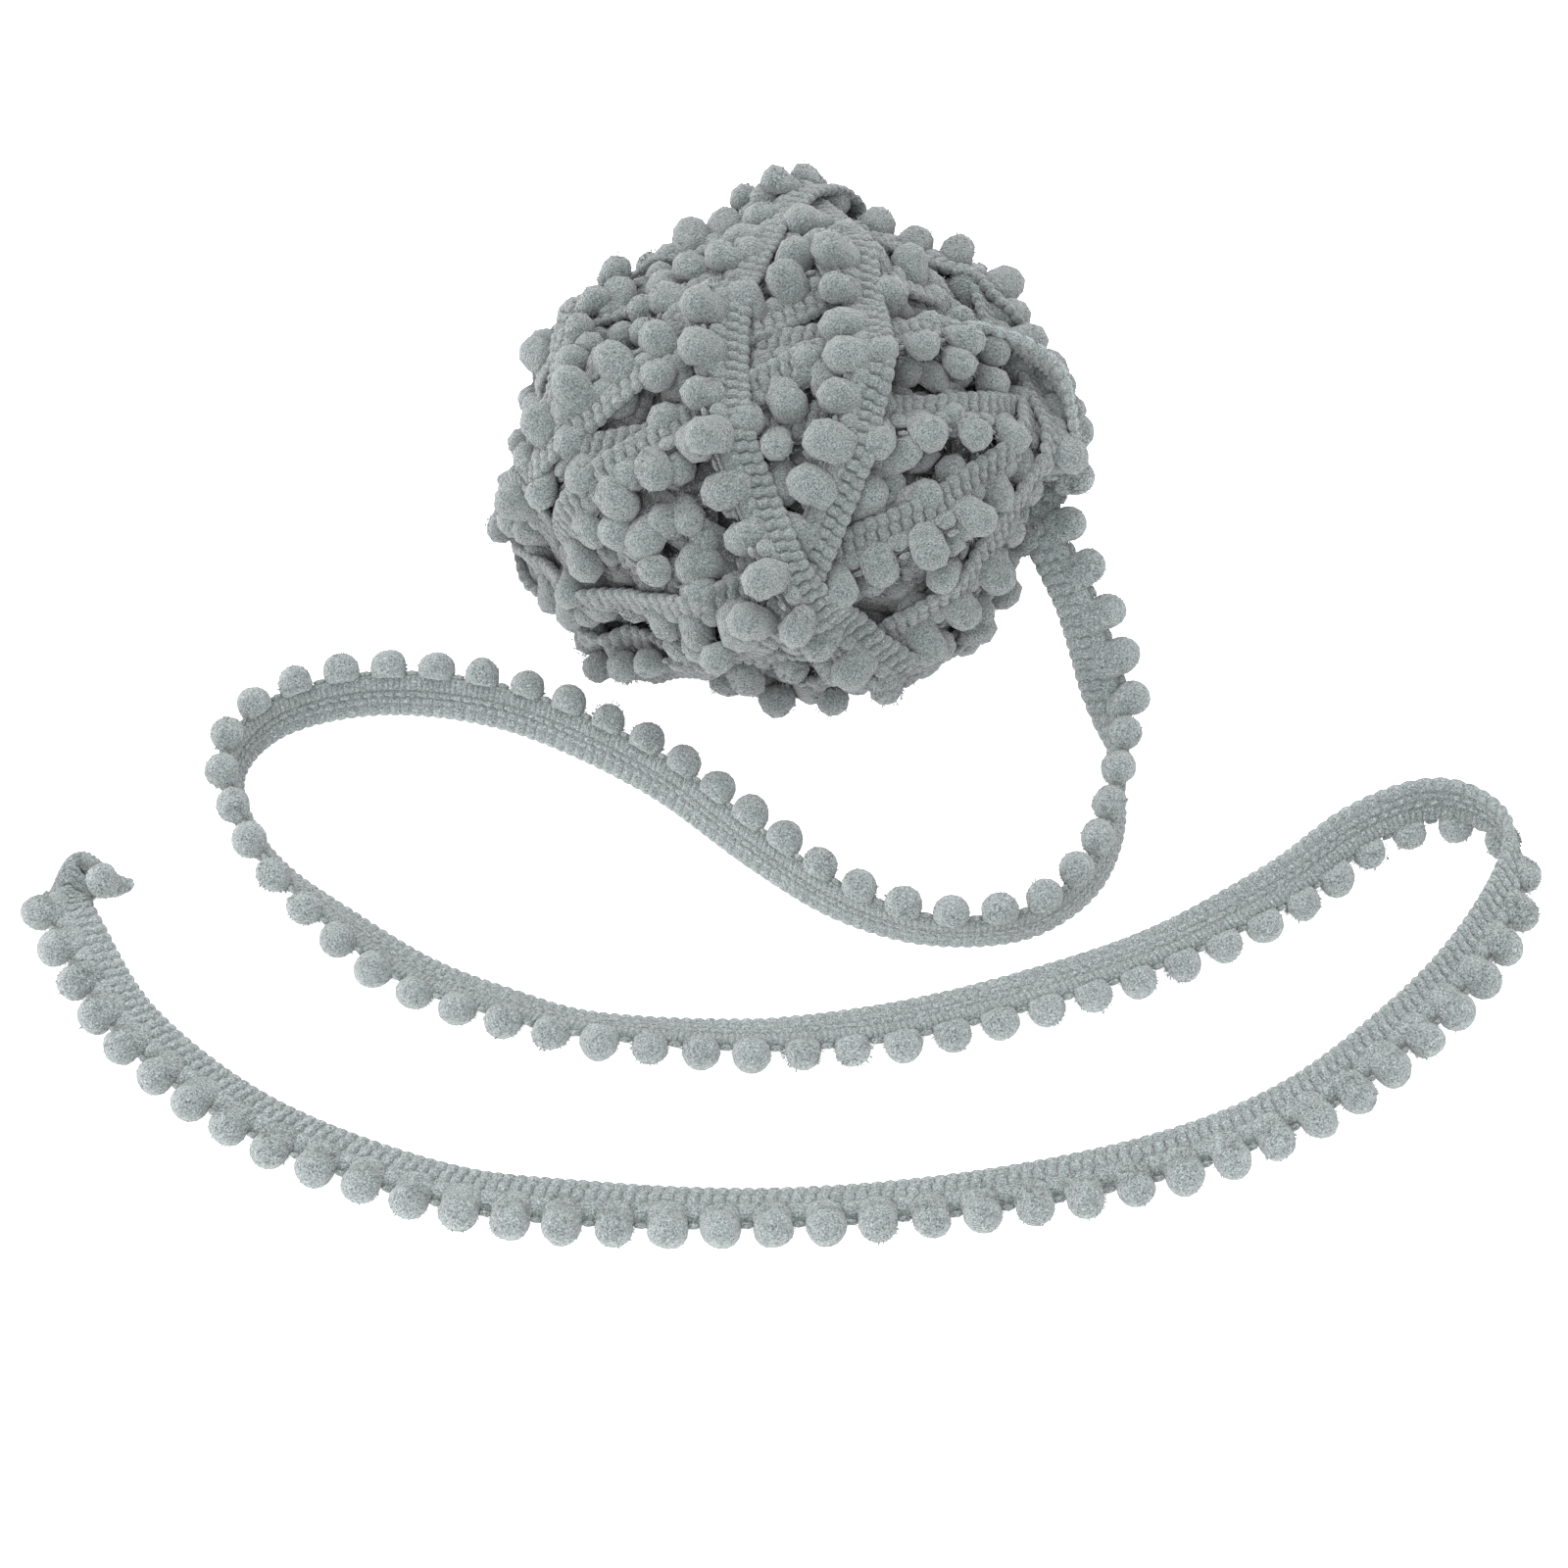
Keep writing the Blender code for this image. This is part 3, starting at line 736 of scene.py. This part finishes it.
# how far under the outermost turns, plus the surface's painted shade, which sets the painted shade
def shadeDepth(points):
    centred = (points - (0, 0, ball["centreHeight"] * mm)) / (1, 1, ball["flattening"])
    reach = np.linalg.norm(centred, axis=1)
    ways = centred / reach[:, None]
    reach = reach / swelling(ways)
    depth = np.empty(len(points))
    for start in range(0, len(points), pointChunk):
        chunk = slice(start, start + pointChunk)
        depth[chunk] = envelope[(ways[chunk] @ field.T).argmax(axis=1)] - reach[chunk]
    return np.maximum(depth, 0) + ball["ownShade"] * mm


# plush is sorted by how deep it lies, so that what hardly shows has few faces
def plushJobs(group, nearest, deepest, between):
    jobs = []
    for turn in group:
        s = np.array([place[0] for place in turn["pompoms"]])
        across, off = (np.full(len(s), place) for place in plush["depthTakenAt"])
        depth = shadeDepth(placeOn(turn["route"], s, across, off)) / mm - ball["ownShade"]
        shift = turn["pitch"] / 2 if between else 0
        jobs.append((turn["route"], [(length + shift, rise) for (length, rise), under
                                     in zip(turn["pompoms"], depth) if nearest <= under < deepest]))
    return jobs


def tapeJobs(group):
    return [(turn["route"], turn["pitch"], turn["pompoms"][0][0] + turn["pitch"] / 2) for turn in group]


inner, outer = turns[:ball["innerTurns"]], turns[ball["innerTurns"]:]
half = len(outer) // 2
fuzzy, shown = plush["fuzzyDownTo"], plush["shownDownTo"]
shownBuds = plushJobs(outer, 0, plush["budsDownTo"], True)
shownLoops = plushJobs(outer, 0, plush["loopsDownTo"], True)
woundTuft = tuftShape("woundSizes")
print("wound pieces")
woundPieces = [
    makeStrip("woundTapeUnder", tapeJobs(outer[:half]), stitchSteps["wound"], plainBack, shadeDepth),
    makeStrip("woundTapeOver", tapeJobs(outer[half:]), stitchSteps["wound"], plainBack, shadeDepth),
    makeStrip("woundTapeInner", tapeJobs(inner), stitchSteps["buriedShade"], plainBack, shadeDepth),
    makePlush("woundTufts", plushJobs(turns, 0, shown, False), woundTuft, 2, shadeDepth, 21),
    makePlush("woundTuftsDeep", plushJobs(turns, shown, math.inf, False), woundTuft, 1, shadeDepth, 22),
    makeFuzz("woundFuzz", plushJobs(turns, 0, fuzzy, False), woundTuft, plush["woundEnds"],
             shadeDepth, 32),
    makeFuzz("woundFuzzUnder", plushJobs(turns, fuzzy, shown, False), woundTuft, plush["underEnds"],
             shadeDepth, 33),
    makePlush("woundBuds", shownBuds, lumpShape("bud"), 2, shadeDepth, 23),
    makePlush("woundLoops", shownLoops, lumpShape("loop"), 1, shadeDepth, 24),
]
# the core stands in for the inner turns in shade: it gets painted shade as far down as coreShade
bm = bmesh.new()
bmesh.ops.create_icosphere(bm, subdivisions=4, radius=1.0)
for vert in bm.verts:
    vert.co = Vector(flattened(np.array([vert.co]) * (ball["core"] - ball["coreInset"]) * mm)[0])
woundCore = finishPiece(bm, "woundCore")
coreShades = np.full(len(woundCore.data.vertices), ball["coreShade"] * mm)
woundCore.data.attributes.new("buriedShade", "FLOAT", "POINT").data.foreach_set("value", coreShades)
woundPieces.append(woundCore)

for piece in (*freePieces, *woundPieces):  # its own weight presses it level where it rests
    soft = (ball if piece in woundPieces else freeEnd)["pressed"] * mm
    for vert in piece.data.vertices:
        if vert.co.z < soft:
            vert.co.z = soft * math.exp((vert.co.z - soft) / soft)

for piece in (*freePieces, *woundPieces):
    knitted = "Tape" in piece.name
    piece.data.materials.append(knittedYarn if knitted else plushYarn)
    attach(piece, "root")
    if piece in woundPieces:
        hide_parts("wound_ball")
    else:
        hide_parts("heading_tape" if knitted else "pompom_fringe")
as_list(freePieces[1:])

print("studio")
studio = {
    "floorColour": (0.93, 0.93, 0.93),
    "floorGlow": 0.7,
    "sky": 1.6,
    # place, size in metres, watts
    "key": ((-0.3, 0.3, 1.0), 0.7, 13.0),
    "front": ((-0.45, -0.95, 0.7), 0.9, 13.5),
    "fill": ((0.5, -0.7, 0.9), 0.9, 4.0),
    "aim": (0, -0.04, 0.02),
}
bm = bmesh.new()
bmesh.ops.create_grid(bm, x_segments=1, y_segments=1, size=3.0)
floor = finishPiece(bm, "floor")
floorPaint = bpy.data.materials.new("floorPaint")
floorPaint.use_nodes = True
floorShader = floorPaint.node_tree.nodes["Principled BSDF"]
floorShader.inputs["Base Color"].default_value = (*studio["floorColour"], 1)
floorShader.inputs["Roughness"].default_value = 0.9
floorShader.inputs["Emission Color"].default_value = (1, 1, 1, 1)
floorShader.inputs["Emission Strength"].default_value = studio["floorGlow"]
floor.data.materials.append(floorPaint)

world = bpy.data.worlds.new("studio")
scene.world = world
world.use_nodes = True
sky = world.node_tree.nodes["Background"]
sky.inputs["Color"].default_value = (1, 1, 1, 1)
sky.inputs["Strength"].default_value = studio["sky"]
for name in ("key", "front", "fill"):
    spot, size, power = studio[name]
    light = bpy.data.lights.new(name, "AREA")
    light.size = size
    light.energy = power
    lamp = bpy.data.objects.new(name, light)
    lamp.location = spot
    lamp.rotation_euler = (Vector(studio["aim"]) - Vector(spot)).to_track_quat("-Z", "Y").to_euler()
    scene.collection.objects.link(lamp)

view = {
    "elevation": 48,  # degrees
    "halfAngle": 11,
    "target": (0.0002, -0.0423, 0),
    "distance": 0.675,
}
tilt = math.radians(view["elevation"])
lens = bpy.data.cameras.new("camera")
lens.sensor_width = 36
lens.lens = 18 / math.tan(math.radians(view["halfAngle"]))
lens.clip_start = 0.01
camera = bpy.data.objects.new("camera", lens)
camera.location = Vector(view["target"]) - view["distance"] * Vector((0, math.cos(tilt), -math.sin(tilt)))
camera.rotation_euler = (math.radians(90) - tilt, 0, 0)
scene.collection.objects.link(camera)
scene.camera = camera
scene.view_settings.view_transform = "Standard"

print("triangles", {piece.name: sum(len(face.vertices) - 2 for face in piece.data.polygons)
                    for piece in (*freePieces, *woundPieces)})
